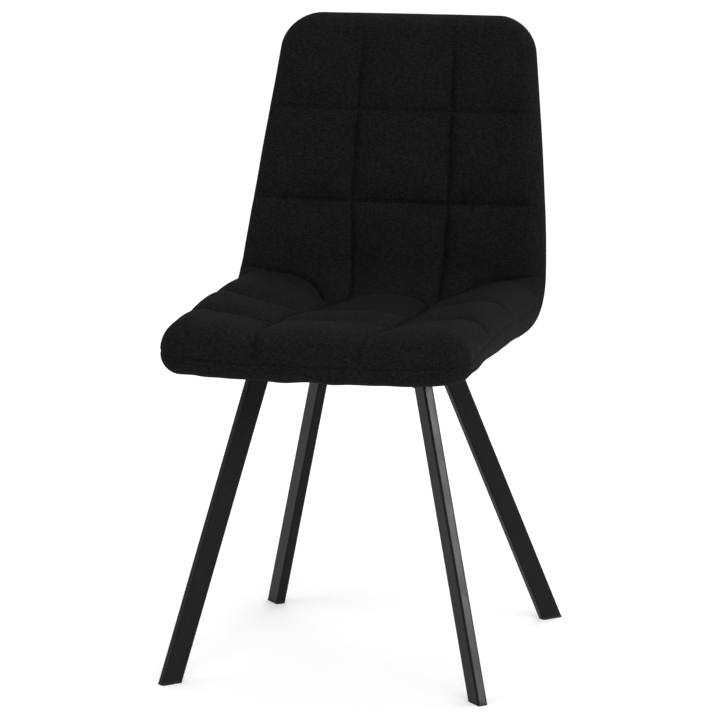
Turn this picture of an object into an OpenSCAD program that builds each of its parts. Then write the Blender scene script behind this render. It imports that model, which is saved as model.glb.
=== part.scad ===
// Dining chair: a padded, bent-plywood seat and back shell on a welded cross frame of flat steel tube.
// Millimetres, +Z up, the front of the chair faces -Y. Left and right are as seen from the front.
// The origin is on the floor, in the middle of the chair's width and depth.

/* [Shell profile] */
// Length of the flat seat, along the shell's middle surface
seat_length = 366; // [360:1:372]
// Radius of the bend between the seat and the back
bend_radius = 85; // [82:1:90]
// Length of the back, from the end of the bend to the top edge
back_length = 364; // [335:1:380]
// How far the seat falls to the rear, in degrees
seat_slope = 2.1; // [1.5:0.1:2.6]
// How far the back leans from upright just above the bend, in degrees
back_lean_low = 18.2; // [17:0.1:20]
// How far the back leans from upright at its top, in degrees
back_lean_top = 14.4; // [12:0.1:16]
// Height of the shell's middle surface at the front edge of the seat
seat_front_height = 482.5; // [475:0.5:490]

/* [Shell outline] */
// Half the width of the seat at its front edge
front_half_width = 221; // [212:1:226]
// Half the width of the seat at the bend
bend_half_width = 228; // [222:1:234]
// Half the width of the back at its top
top_half_width = 184; // [172:1:196]
// Radius of the two front corners
front_corner = 34; // [32:1:44]
// Radius of the two top corners
top_corner = 52; // [42:1:58]
// How far the middle of the front edge bows out
front_bow = 10; // [4:1:14]
// How far the middle of the top edge bows up
top_bow = 2; // [0:0.5:5]

/* [Padding] */
// Thickness of the padded seat
seat_thickness = 68; // [64:1:70]
// Thickness of the padded back
back_thickness = 41; // [40:1:46]
// How far below the middle surface the seat's rim seam runs
seat_rim_drop = 14; // [10:0.5:15]
// How far behind the middle surface the back's rim seam runs
back_rim_drop = 5; // [2:0.5:6]
// Thickness of the cover fabric
cover_thickness = 1.5; // [1.2:0.1:2]
// Thickness of the bent plywood
plywood_thickness = 10; // [8:0.5:11]

/* [Legs] */
// Wide side of the leg tube
tube_wide = 30; // [26:1:32]
// Narrow side of the leg tube
tube_narrow = 15; // [12:1:16]
// Height of the two crossed bars between the legs
bar_height = 25; // [20:1:26]
// Wall of the tube
tube_wall = 1.5; // [1:0.1:2]
// Outside corner radius of the tube
tube_corner = 3; // [2.5:0.1:3.5]
// Distance of a front foot from the chair's middle plane
front_foot_x = 222; // [214:1:230]
// Distance of a rear foot from the chair's middle plane
rear_foot_x = 210.5; // [203:0.5:218]
// Distance between the front and the rear feet, along the chair
foot_spacing = 464; // [456:1:472]
// How far a front leg leans inwards per unit of height
front_leg_lean = 0.36; // [0.35:0.002:0.37]
// How far a rear leg leans inwards per unit of height
rear_leg_lean = 0.432; // [0.42:0.002:0.44]
// Height of the visible rim of a foot plug
plug_rim = 4; // [3:0.5:6]

/* [Fastening] */
// Distance between the two front seat bolts
front_bolt_spacing = 170; // [164:1:174]
// Distance between the two rear seat bolts
rear_bolt_spacing = 96; // [90:1:98]
// Thickness of the two mounting strips
strip_thickness = 3; // [2.5:0.5:3]
// Width of the two mounting strips
strip_width = 30; // [28:1:32]

/* [Hidden] */
$fn = 48;

fabric_black = [0.09, 0.09, 0.095];
dust_cover_black = [0.06, 0.06, 0.06];
foam_grey = [0.75, 0.75, 0.72];
plywood_tan = [0.72, 0.56, 0.38];
powder_coat_black = [0.10, 0.10, 0.10];
zinc_grey = [0.62, 0.63, 0.65];
plug_black = [0.05, 0.05, 0.05];

seat_front_y = -274.5;  // middle surface at the front edge, without the bow
front_foot_y = -235.5;
gap = 0.3;              // clearance between the layers of the upholstery
rim_gap = 0.15;         // half the slit between the front cover and the rear cover
ridge = 0.4;            // half the thickness left where a foam pad runs out
big = 1000;

// ---------- The shell's middle surface ----------
// It is a strip, measured by s along the profile from the front edge, x across, and n square to it.

seat_angle = -seat_slope;
bend_angle = 90 - back_lean_low;
top_angle = 90 - back_lean_top;
lumbar_radius = 1200;
bend_length = bend_radius * (bend_angle - seat_angle) * PI / 180;
lumbar_length = lumbar_radius * (top_angle - bend_angle) * PI / 180;
bend_end = seat_length + bend_length;
lumbar_end = bend_end + lumbar_length;
shell_length = bend_end + back_length;

function line_end(p, angle, run) = p + run * [cos(angle), sin(angle)];
function arc_end(p, angle, radius, run) =
    let (turned = angle + run / radius * 180 / PI)
    p + radius * [sin(turned) - sin(angle), cos(angle) - cos(turned)];

profile_start = [seat_front_y, seat_front_height];
profile_bend = line_end(profile_start, seat_angle, seat_length);
profile_back = arc_end(profile_bend, seat_angle, bend_radius, bend_length);
profile_upper = arc_end(profile_back, bend_angle, lumbar_radius, lumbar_length);

function profile_point(s) =
    s < seat_length ? line_end(profile_start, seat_angle, s)
    : s < bend_end ? arc_end(profile_bend, seat_angle, bend_radius, s - seat_length)
    : s < lumbar_end ? arc_end(profile_back, bend_angle, lumbar_radius, s - bend_end)
    : line_end(profile_upper, top_angle, s - lumbar_end);
function profile_angle(s) =
    s < seat_length ? seat_angle
    : s < bend_end ? seat_angle + (s - seat_length) / bend_radius * 180 / PI
    : s < lumbar_end ? bend_angle + (s - bend_end) / lumbar_radius * 180 / PI
    : top_angle;

// A smooth curve through knots of [position, value].
function knot_slope(knots, i) =
    let (a = max(i - 1, 0), b = min(i + 1, len(knots) - 1))
    (knots[b][1] - knots[a][1]) / (knots[b][0] - knots[a][0]);
function knot_before(knots, s, i = 0) =
    i >= len(knots) - 2 || s < knots[i + 1][0] ? i : knot_before(knots, s, i + 1);
function smooth(knots, s) =
    let (i = knot_before(knots, s), run = knots[i + 1][0] - knots[i][0])
    let (t = min(max((s - knots[i][0]) / run, 0), 1), t2 = t * t, t3 = t2 * t)
    (2 * t3 - 3 * t2 + 1) * knots[i][1] + (t3 - 2 * t2 + t) * run * knot_slope(knots, i)
    + (3 * t2 - 2 * t3) * knots[i + 1][1] + (t3 - t2) * run * knot_slope(knots, i + 1);

mid_seat = seat_length * 0.55;
mid_bend = seat_length + bend_length / 2;
low_back = bend_end + 100;
width_knots = [
    [0, front_half_width], [mid_seat, front_half_width], [mid_bend, bend_half_width],
    [low_back, bend_half_width - 11.5], [shell_length, top_half_width]
];
// How far the shell's sides curl up from its flat middle.
dish_knots = [[0, 6], [mid_seat, 29], [mid_bend, 27.5], [low_back, 22.5], [shell_length, 18.5]];
// The part of that curl which the padding's underside and rear leave out.
fill_knots = [[0, 0.2], [mid_seat, 0.4], [mid_bend, 0], [low_back, 0.1], [shell_length, 0.05]];
dish_start = 90;
dish_reference = 220;
dish_power = 1.5;

// A value that changes from the seat's to the back's, smoothly over the bend.
function over_bend(s, seat, back) =
    let (t = min(max((s - seat_length) / bend_length, 0), 1))
    seat + (back - seat) * t * t * (3 - 2 * t);
function thickness(s) = over_bend(s, seat_thickness, back_thickness);
// The level of the rim seam, where the front cover meets the rear cover.
function rim_level(s) = over_bend(s, -seat_rim_drop, -back_rim_drop);
function dish(s, x) =
    smooth(dish_knots, s)
    * pow(max(abs(x) - dish_start, 0) / (dish_reference - dish_start), dish_power);

function fill(s, x) = smooth(fill_knots, s) * dish(s, x);

// The outline, drawn in by inset. It is straight or gently curved, with round corners.
function end_distance(s, inset) = min(s, shell_length - s) - inset;
function corner_radius(s, inset) = (s < shell_length / 2 ? front_corner : top_corner) - inset;
function outline_half_width(s, inset) =
    let (r = corner_radius(s, inset), e = max(end_distance(s, inset), 0))
    smooth(width_knots, s) - inset - (e < r ? r - sqrt(r * r - pow(r - e, 2)) : 0);
function edge_distance(s, x, inset) =
    let (side = smooth(width_knots, s) - inset - abs(x), e = end_distance(s, inset))
    let (r = corner_radius(s, inset))
    side < r && e < r ? r - norm([r - side, r - e]) : min(side, e);

// A quarter round: 0 at the edge and 1 from the distance radius inwards.
function swell(distance, radius) =
    let (t = min(max(distance / radius, 0), 1)) sqrt(1 - pow(1 - t, 2));

// How far the top edge bows out along the profile, less how far the front edge does.
bow_reach = 100;
function bow(s, x) =
    (1 - pow(x / 200, 2))
    * (top_bow * max(1 - (shell_length - s) / bow_reach, 0) - front_bow * max(1 - s / bow_reach, 0));
function shell_point(s, x, n) =
    let (p = profile_point(s), a = profile_angle(s), m = n + dish(s, x), run = bow(s, x))
    [x, p.x - sin(a) * m + cos(a) * run, p.y + cos(a) * m + sin(a) * run];

// Level of the padded surface on side 1 (towards the sitter) or -1, drawn in by inset.
function padded(s, x, side, inset, base) =
    let (rise = thickness(s) / 2 - side * rim_level(s) - inset + (side < 0 ? fill(s, x) : 0))
    rim_level(s) + side * (base + (rise - base) * swell(edge_distance(s, x, inset), rise));

// ---------- Solids between two surfaces of the shell ----------
// Rows run across the shell. Their spacing is close near the edges and in the bend.

edge_steps = [0, 1.5, 5, 11, 20, 34];
edges = len(edge_steps) - 1;
middle_columns = 8;
columns = middle_columns + 2 * edges;

function column_x(half_width, j) =
    j <= edges ? edge_steps[j] - half_width
    : j >= columns - edges ? half_width - edge_steps[columns - j]
    : (half_width - edge_steps[edges]) * (2 * (j - edges) / middle_columns - 1);
function steps(from, to, count) = [for (i = [1 : count]) from + (to - from) * i / count];
front_rows = edge_steps;
seat_rows = steps(edge_steps[edges], seat_length, 5);
bend_rows = steps(seat_length, bend_end, 8);
back_rows = steps(bend_end, shell_length - edge_steps[edges], 6);
top_rows = [for (i = [edges - 1 : -1 : 0]) shell_length - edge_steps[i]];
all_rows = concat(front_rows, seat_rows, bend_rows, back_rows, top_rows);

function squeeze(s, inset) = inset + s * (shell_length - 2 * inset) / shell_length;
function surface_rows(rows, inset, level) = [
    for (row = rows)
        let (s = squeeze(row, inset), w = outline_half_width(s, inset))
        [for (j = [0 : columns]) let (x = column_x(w, j)) shell_point(s, x, level(s, x))]
];

// A closed solid between an upper and a lower sheet of points, each a list of equal rows.
module slab(upper, lower) {
    rows = len(upper);
    cols = len(upper[0]);
    count = rows * cols;
    function at(i, j) = i * cols + j;
    function strip(a, b, c, d) = [[a, b, c], [a, c, d]];
    upper_faces = [
        for (i = [0 : rows - 2], j = [0 : cols - 2])
            each strip(at(i, j), at(i + 1, j), at(i + 1, j + 1), at(i, j + 1))
    ];
    lower_faces = [for (f = upper_faces) [f[2] + count, f[1] + count, f[0] + count]];
    rim = concat(
        [for (j = [0 : cols - 1]) at(0, j)],
        [for (i = [1 : rows - 1]) at(i, cols - 1)],
        [for (j = [cols - 2 : -1 : 0]) at(rows - 1, j)],
        [for (i = [rows - 2 : -1 : 1]) at(i, 0)]
    );
    rim_faces = [
        for (k = [0 : len(rim) - 1])
            let (a = rim[k], b = rim[(k + 1) % len(rim)])
            each strip(a, b, b + count, a + count)
    ];
    points = concat([for (row = upper) each row], [for (row = lower) each row]);
    polyhedron(points = points, faces = concat(upper_faces, lower_faces, rim_faces));
}

// ---------- Upholstery ----------

// The plywood lies against the rear cover under the seat, and behind wadding in the back.
wadding_thickness = 4.5;
plywood_inset = 28;
foam_inset = cover_thickness + gap;
function plywood_low(s) =
    over_bend(s, 0, wadding_thickness) + cover_thickness + gap - thickness(s) / 2;
function plywood_high(s) = plywood_low(s) + plywood_thickness;

module cover_skin(side) {
    outer = surface_rows(all_rows, 0, function (s, x) padded(s, x, side, 0, rim_gap));
    inner = surface_rows(
        all_rows, cover_thickness, function (s, x) padded(s, x, side, cover_thickness, rim_gap)
    );
    if (side > 0) slab(outer, inner); else slab(inner, outer);
}

module foam_pad(rows) {
    top_level = function (s, x) padded(s, x, 1, foam_inset, ridge);
    // Past the plywood's edge the pad reaches down to the rear cover.
    bottom_level = function (s, x)
        edge_distance(s, x, 0) > plywood_inset - 3
        ? plywood_high(s) + gap
        : padded(s, x, -1, foam_inset, ridge);
    slab(surface_rows(rows, foam_inset, top_level), surface_rows(rows, foam_inset, bottom_level));
}

// Holes through the seat, square to it, at the four bolts.
bolt_places = [[front_bolt_spacing / 2, 162], [rear_bolt_spacing / 2, 355]];
module seat_frame() {
    translate([0, seat_front_y, seat_front_height]) rotate([seat_angle, 0, 0]) children();
}
module at_bolts() {
    seat_frame()
        for (side = [-1, 1], place = bolt_places)
            translate([side * place.x, place.y, 0]) children();
}

tee_flange_radius = 9.5;
tee_flange_thickness = 1.5;
tee_barrel_radius = 3.9;
bolt_radius = 3;
thread_clearance = 0.05;
plywood_under = plywood_low(bolt_places[0].y);
plywood_top = plywood_high(bolt_places[0].y);

module plywood_shell() {
    rows = concat([0], steps(0, seat_length, 4), bend_rows, steps(bend_end, shell_length, 6));
    corner_rows = [for (s = rows) if (s > 0 && s < shell_length) s];
    close_rows = [0, 2, 6, 12];
    fine = concat(close_rows, corner_rows, [for (i = [3 : -1 : 0]) shell_length - close_rows[i]]);
    color(plywood_tan)
        difference() {
            slab(
                surface_rows(fine, plywood_inset, function (s, x) plywood_high(s)),
                surface_rows(fine, plywood_inset, function (s, x) plywood_low(s))
            );
            at_bolts() {
                translate([0, 0, -big / 2]) cylinder(r = tee_barrel_radius + 0.1, h = big);
                translate([0, 0, plywood_top - tee_flange_thickness - 0.1])
                    cylinder(r = tee_flange_radius + gap, h = 20);
            }
        }
}

module seat_foam() {
    color(foam_grey) foam_pad([for (s = all_rows) if (s < mid_bend + 1) s]);
}

module back_foam() {
    color(foam_grey)
        foam_pad(concat([mid_bend + gap], [for (s = all_rows) if (s > mid_bend + 1) s]));
}

module back_wadding() {
    rows = concat([bend_end - 12], steps(bend_end, shell_length, 7));
    color(foam_grey)
        slab(
            surface_rows(rows, plywood_inset, function (s, x) plywood_low(s) - gap),
            surface_rows(
                rows, plywood_inset, function (s, x) cover_thickness + gap - thickness(s) / 2
            )
        );
}

module quilted_front_cover() {
    color(fabric_black) cover_skin(1);
}

module rear_cover() {
    color(fabric_black)
        difference() {
            cover_skin(-1);
            at_bolts() translate([0, 0, -seat_thickness]) cylinder(r = 5, h = seat_thickness);
        }
}

// ---------- The panel under the seat ----------

panel_thickness = 0.7;
panel_front = 42;
panel_rear = 378;
panel_half_width = 168;
panel_columns = 7;
under_seat = -seat_thickness / 2;

function panel_rows(n) = [
    for (s = concat([panel_front], steps(panel_front, panel_rear, 6)))
        [for (k = [-panel_columns : panel_columns])
            let (x = k * panel_half_width / panel_columns) shell_point(s, x, n - fill(s, x))]
];

module dust_cover() {
    color(dust_cover_black)
        difference() {
            slab(panel_rows(under_seat - 0.1), panel_rows(under_seat - 0.1 - panel_thickness));
            at_bolts() translate([0, 0, -2 * seat_thickness]) cylinder(r = 5, h = 2 * seat_thickness);
        }
}

staple_crown = 10;
staple_wire = 0.9;
staples_across = 7;
staples_along = 6;
module staple_at(s, x, turn) {
    function under(x) = dish(s, x) - fill(s, x);
    p = shell_point(s, x, under_seat - 0.15 - panel_thickness - staple_wire / 2 - fill(s, x));
    slope = atan2(under(x + 1) - under(x - 1), 2);
    translate(p) rotate([seat_angle, -slope, 0]) rotate(turn)
        cube([staple_crown, 1.2, staple_wire], center = true);
}

module dust_cover_staples() {
    edge = 7;
    length_steps = (panel_rear - panel_front - 2 * edge) / staples_along;
    width_steps = 2 * (panel_half_width - edge) / staples_across;
    color(zinc_grey) {
        for (k = [1 : staples_along - 1], side = [-1, 1])
            staple_at(panel_front + edge + k * length_steps, side * (panel_half_width - edge), 90);
        for (k = [0 : staples_across], s = [panel_front + edge, panel_rear - edge])
            staple_at(s, edge - panel_half_width + k * width_steps, 0);
    }
}

// ---------- Fastening ----------

strip_top = under_seat - 0.1 - panel_thickness - 0.1;
strip_under = strip_top - strip_thickness;
frame_top = strip_under;
flat_washer_thickness = 1.6;
spring_washer_thickness = 1.5;
flat_washer_top = strip_under - 0.02;
spring_washer_top = flat_washer_top - flat_washer_thickness - 0.02;
bolt_head_top = spring_washer_top - spring_washer_thickness - 0.02;

module tee_nuts() {
    color(zinc_grey)
        at_bolts()
            difference() {
                union() {
                    translate([0, 0, plywood_top - tee_flange_thickness])
                        cylinder(r = tee_flange_radius, h = tee_flange_thickness);
                    translate([0, 0, plywood_under + 0.5])
                        cylinder(r = tee_barrel_radius, h = plywood_thickness - 1);
                }
                translate([0, 0, -big / 2]) cylinder(r = bolt_radius + thread_clearance, h = big);
            }
}

module washers(top, height, outside, inside) {
    at_bolts()
        translate([0, 0, top - height])
            difference() {
                cylinder(r = outside, h = height);
                translate([0, 0, -1]) cylinder(r = inside, h = height + 2);
            }
}

module flat_washers() {
    color(zinc_grey) washers(flat_washer_top, flat_washer_thickness, 6, 3.2);
}

module spring_washers() {
    color(zinc_grey) {
        difference() {
            washers(spring_washer_top, spring_washer_thickness, 5.2, 3.1);
            // The split in each ring
            at_bolts()
                translate([4, 0, spring_washer_top - spring_washer_thickness / 2])
                    rotate([35, 0, 0]) cube([5, 0.8, 6], center = true);
        }
    }
}

module seat_bolts() {
    head_radius = 5.2;
    head_height = 3.3;
    socket_radius = 4 / sqrt(3);
    color(zinc_grey)
        at_bolts() {
            translate([0, 0, bolt_head_top])
                cylinder(r = bolt_radius, h = plywood_top - bolt_head_top - 0.4);
            difference() {
                translate([0, 0, bolt_head_top - head_height]) {
                    translate([0, 0, head_height - 1.2]) cylinder(r = head_radius, h = 1.2);
                    cylinder(r1 = head_radius - 2, r2 = head_radius, h = head_height - 1.2);
                }
                translate([0, 0, bolt_head_top - head_height - 1])
                    cylinder(r = socket_radius, h = 3, $fn = 6);
            }
        }
}

module mounting_strip(bolt, half_length) {
    hole_radius = 3.4;
    corner = 4;
    color(powder_coat_black)
        seat_frame()
            difference() {
                translate([0, bolt.y, strip_under])
                    linear_extrude(strip_thickness)
                        round_rectangle(2 * half_length, strip_width, corner);
                for (side = [-1, 1])
                    translate([side * bolt.x, bolt.y, strip_under - 1])
                        cylinder(r = hole_radius, h = strip_thickness + 2);
            }
}

// ---------- Welded cross frame and legs ----------
// Two upright planes cross under the seat. Each holds a front leg, a bar and the opposite rear leg.

diagonal_x = front_foot_x + rear_foot_x;
diagonal = norm([diagonal_x, foot_spacing]);
diagonal_angle = atan2(foot_spacing, diagonal_x);
front_tilt = atan(front_leg_lean);
rear_tilt = atan(rear_leg_lean);
bar_tilt = atan(tan(seat_slope) * sin(diagonal_angle));

module round_rectangle(wide, narrow, r) {
    square([wide - 2 * r, narrow], center = true);
    square([wide, narrow - 2 * r], center = true);
    for (i = [-1, 1], j = [-1, 1])
        translate([i * (wide / 2 - r), j * (narrow / 2 - r)]) circle(r = r);
}

module tube_section(wide, hollow) {
    difference() {
        round_rectangle(wide, tube_narrow, tube_corner);
        if (hollow)
            round_rectangle(
                wide - 2 * tube_wall, tube_narrow - 2 * tube_wall, tube_corner - tube_wall
            );
    }
}

// Places its children in the upright plane that starts at a front foot: local +X runs to the rear foot.
module diagonal_plane(side) {
    mirror([side < 0 ? 1 : 0, 0, 0])
        translate([front_foot_x, front_foot_y, 0]) rotate(180 - diagonal_angle) children();
}
module along_leg(front) {
    translate([front ? 0 : diagonal, 0, 0]) rotate([0, front ? front_tilt : -rear_tilt, 0]) children();
}

// Everything above the level n of the seat's own frame.
module above_seat_level(n) {
    seat_frame() translate([-big / 2, -big / 2, n]) cube(big);
}
module below_height(z) {
    translate([-big, -big, z - big]) cube([2 * big, 2 * big, big]);
}

leg_reach = 520;
module leg_stock(side, front, hollow) {
    diagonal_plane(side)
        along_leg(front) translate([0, 0, -40]) linear_extrude(leg_reach) tube_section(tube_wide, hollow);
}
module leg(side, front) {
    color(powder_coat_black)
        difference() {
            leg_stock(side, front, true);
            above_seat_level(frame_top);
            below_height(plug_rim);
        }
}

// Each bar is cut level with the strips at its top, and along its two legs' inner faces at its ends.
bar_start = front_leg_lean * 440;
bar_end = diagonal - rear_leg_lean * 432;
bar_mid_y = front_foot_y + bar_start * sin(diagonal_angle);
bar_top = seat_front_height - (bar_mid_y - seat_front_y) * tan(seat_slope) + frame_top / cos(seat_slope);
bar_rise = 0.2;
module beyond_leg(side, front) {
    diagonal_plane(side)
        along_leg(front)
            translate([front ? tube_wide / 2 - big : -tube_wide / 2, -big / 2, 0]) cube(big);
}
module bar(side) {
    difference() {
        diagonal_plane(side)
            translate([bar_start, 0, bar_top + bar_rise])
                rotate([0, bar_tilt, 0])
                    translate([0, 0, -bar_height / 2])
                        rotate([0, 90, 0]) linear_extrude(bar_end - bar_start) tube_section(bar_height, true);
        beyond_leg(side, true);
        beyond_leg(side, false);
        above_seat_level(frame_top);
    }
}

module cross_bar() {
    color(powder_coat_black) bar(1);
}

// The second bar is in two halves, which butt against the sides of the first.
module cross_bar_half(front) {
    color(powder_coat_black)
        difference() {
            bar(-1);
            diagonal_plane(1)
                translate([-big / 2, front ? tube_narrow / 2 - big : -tube_narrow / 2, 0]) cube(big);
        }
}

// A plug fills the tube's end: the rim has the leg's own outline, and the shank fits inside the tube.
module foot_plug(side, front) {
    fit = 0.1;
    shank_height = 24;
    inner_wide = tube_wide - 2 * (tube_wall + fit);
    inner_narrow = tube_narrow - 2 * (tube_wall + fit);
    color(plug_black) {
        difference() {
            leg_stock(side, front, false);
            below_height(0);
            translate([-big, -big, plug_rim - 0.02]) cube([2 * big, 2 * big, big]);
        }
        difference() {
            diagonal_plane(side)
                along_leg(front)
                    translate([0, 0, -40])
                        linear_extrude(leg_reach)
                            round_rectangle(inner_wide, inner_narrow, tube_corner - tube_wall - fit);
            below_height(1);
            translate([-big, -big, shank_height]) cube([2 * big, 2 * big, big]);
        }
    }
}

// ---------- Nodes ----------

plywood_shell();
seat_foam();
back_foam();
back_wadding();
quilted_front_cover();
rear_cover();
dust_cover();
dust_cover_staples();
tee_nuts();
leg(-1, true);  // leg_front_left
leg(1, true);  // leg_front_right
leg(1, false);  // leg_rear_left
leg(-1, false);  // leg_rear_right
cross_bar();
cross_bar_half(true);  // cross_bar_half_front
cross_bar_half(false);  // cross_bar_half_rear
mounting_strip(bolt_places[0], 135);  // mounting_strip_front
mounting_strip(bolt_places[1], 105);  // mounting_strip_rear
foot_plug(-1, true);  // foot_plug_front_left
foot_plug(1, true);  // foot_plug_front_right
foot_plug(1, false);  // foot_plug_rear_left
foot_plug(-1, false);  // foot_plug_rear_right
seat_bolts();
flat_washers();
spring_washers();
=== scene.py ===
"""Looks of a quilted dining chair on a welded leg frame. Metres, +Z up, the chair faces -Y."""

import math

import bpy
import numpy as np
from mathutils import Matrix, Vector, noise


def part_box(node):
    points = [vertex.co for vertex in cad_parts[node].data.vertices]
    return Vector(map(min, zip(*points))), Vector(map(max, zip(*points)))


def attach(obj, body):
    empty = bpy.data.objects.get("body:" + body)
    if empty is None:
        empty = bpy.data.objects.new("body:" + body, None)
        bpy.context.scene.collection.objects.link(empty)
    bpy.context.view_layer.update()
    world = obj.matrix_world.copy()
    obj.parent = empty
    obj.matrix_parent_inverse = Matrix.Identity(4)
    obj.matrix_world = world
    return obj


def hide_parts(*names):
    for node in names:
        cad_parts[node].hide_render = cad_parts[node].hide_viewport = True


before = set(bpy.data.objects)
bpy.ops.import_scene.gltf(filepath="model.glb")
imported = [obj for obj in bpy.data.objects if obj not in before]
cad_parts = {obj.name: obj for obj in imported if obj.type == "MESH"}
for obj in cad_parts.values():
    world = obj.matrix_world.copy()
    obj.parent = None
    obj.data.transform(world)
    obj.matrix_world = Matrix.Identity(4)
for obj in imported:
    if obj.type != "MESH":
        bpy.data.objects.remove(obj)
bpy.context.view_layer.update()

# ---------- The padded shell ----------
# It is a strip, measured by s along its profile from the front edge, x across, and n square to it.
# Each table is a list of (s, value) knots, which a smooth curve joins.

SEAT_LENGTH, BACK_LENGTH = 0.366, 0.364
BEND_RADIUS, LUMBAR_RADIUS = 0.085, 1.2
SEAT_ANGLE, BEND_ANGLE, TOP_ANGLE = (math.radians(a) for a in (-2.1, 71.8, 75.6))
SEAT_FRONT_Y, SEAT_FRONT_Z = -0.2745, 0.4825

BEND_END = SEAT_LENGTH + BEND_RADIUS * (BEND_ANGLE - SEAT_ANGLE)
LUMBAR_END = BEND_END + LUMBAR_RADIUS * (TOP_ANGLE - BEND_ANGLE)
SHELL_LENGTH = BEND_END + BACK_LENGTH
MID_SEAT = 0.55 * SEAT_LENGTH
MID_BEND = (SEAT_LENGTH + BEND_END) / 2
LOW_BACK = BEND_END + 0.1
STATIONS = (0, MID_SEAT, MID_BEND, LOW_BACK, SHELL_LENGTH)

HALF_WIDTH = list(zip(STATIONS, (0.221, 0.221, 0.228, 0.2165, 0.184)))
SEAT_THICKNESS, BACK_THICKNESS = 0.068, 0.041
SEAT_RIM_LEVEL, BACK_RIM_LEVEL = -0.014, -0.005
FRONT_CORNER, TOP_CORNER = 0.034, 0.052
FRONT_BOW, TOP_BOW = 0.010, 0.002

# How far the sides curl up, and the part of it that the underside leaves out.
DISH = list(zip(STATIONS, (0.006, 0.029, 0.0275, 0.0225, 0.0185)))
DISH_START, DISH_REFERENCE, DISH_POWER = 0.09, 0.22, 1.5
FILL = list(zip(STATIONS, (0.2, 0.4, 0.0, 0.1, 0.05)))

# The sewn lines of the quilting: two along the shell and five across it.
# A cross seam may climb towards the back at the shell's sides, and dip beside the long seams.
ACROSS_SEAMS = (0.124, 0.240, 0.411, 0.565, 0.699)
ACROSS_CLIMB = (0.0, 0.0, 0.038, 0.0, 0.0)
CLIMB_START, CLIMB_END = 0.05, 0.16
DIP_PLACE, DIP_REACH, DIP_DEPTH = 0.080, 0.024, 0.80
CREASE = ACROSS_SEAMS[2]
LONG_SEAM_X = list(zip((0, *ACROSS_SEAMS, SHELL_LENGTH),
                       (0.0735, 0.086, 0.080, 0.067, 0.072, 0.070, 0.067)))
# The sewing runs a little to the left at the front edge and to the right at the back of the seat.
SEAM_DRIFT = ((0, -0.0055), (0.110, 0.0), (0.240, 0.0055), (0.411, 0.0045), (0.565, 0.0))
BOW_REFERENCE, BOW_REACH = 0.2, 0.1
COVER = 0.0015


def smooth(knots, s):
    """Value at s on a smooth curve through knots of (position, value)."""
    ks = np.array([k for k, _ in knots], float)
    vs = np.array([v for _, v in knots], float)
    before = np.maximum(np.arange(len(ks)) - 1, 0)
    after = np.minimum(np.arange(len(ks)) + 1, len(ks) - 1)
    slope = (vs[after] - vs[before]) / (ks[after] - ks[before])
    s = np.asarray(s, float)
    i = np.clip(np.searchsorted(ks, s, side="right") - 1, 0, len(ks) - 2)
    run = ks[i + 1] - ks[i]
    t = np.clip((s - ks[i]) / run, 0, 1)
    t2, t3 = t * t, t**3
    return (
        (2 * t3 - 3 * t2 + 1) * vs[i]
        + (t3 - 2 * t2 + t) * run * slope[i]
        + (3 * t2 - 2 * t3) * vs[i + 1]
        + (t3 - t2) * run * slope[i + 1]
    )


def over_bend(s, seat, back):
    """A value that changes from the seat's to the back's, smoothly over the bend."""
    return seat + (back - seat) * ease_in(s, SEAT_LENGTH, BEND_END)


def thickness(s):
    return over_bend(s, SEAT_THICKNESS, BACK_THICKNESS)


def rim_level(s):
    return over_bend(s, SEAT_RIM_LEVEL, BACK_RIM_LEVEL)


def ease_in(value, low, high):
    """0 below low, 1 above high, and a smooth curve between."""
    t = np.clip((value - low) / (high - low), 0, 1)
    return t * t * (3 - 2 * t)


def profile(s):
    """(y, z, angle) of the shell's middle surface at s."""
    s = np.asarray(s, float)
    seat = np.clip(s, None, SEAT_LENGTH)
    bend = np.clip(s, SEAT_LENGTH, BEND_END) - SEAT_LENGTH
    lumbar = np.clip(s, BEND_END, LUMBAR_END) - BEND_END
    upper = np.clip(s, LUMBAR_END, None) - LUMBAR_END
    a1 = SEAT_ANGLE + bend / BEND_RADIUS
    a2 = a1 + lumbar / LUMBAR_RADIUS
    y = SEAT_FRONT_Y + seat * np.cos(SEAT_ANGLE) + BEND_RADIUS * (np.sin(a1) - np.sin(SEAT_ANGLE))
    z = SEAT_FRONT_Z + seat * np.sin(SEAT_ANGLE) + BEND_RADIUS * (np.cos(SEAT_ANGLE) - np.cos(a1))
    y = y + LUMBAR_RADIUS * (np.sin(a2) - np.sin(a1)) + upper * np.cos(TOP_ANGLE)
    z = z + LUMBAR_RADIUS * (np.cos(a1) - np.cos(a2)) + upper * np.sin(TOP_ANGLE)
    return y, z, a2


def end_distance(s):
    return np.minimum(s, SHELL_LENGTH - s)


def corner(s):
    return np.where(s < SHELL_LENGTH / 2, FRONT_CORNER, TOP_CORNER)


def outline(s):
    """Half width of the outline at s, with its round corners."""
    r, e = corner(s), np.maximum(end_distance(s), 0)
    rounded = r - np.sqrt(np.maximum(r * r - (r - e) ** 2, 0))
    return smooth(HALF_WIDTH, s) - np.where(e < r, rounded, 0)


def edge_distance(s, x):
    """Distance from the outline, inwards."""
    side, e, r = smooth(HALF_WIDTH, s) - np.abs(x), end_distance(s), corner(s)
    in_corner = (side < r) & (e < r)
    return np.maximum(np.where(in_corner, r - np.hypot(r - side, r - e), np.minimum(side, e)), 0)


def dish(s, x):
    """How far the sides curl up at (s, x)."""
    outwards = np.maximum(np.abs(x) - DISH_START, 0) / (DISH_REFERENCE - DISH_START)
    return smooth(DISH, s) * outwards**DISH_POWER


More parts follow.
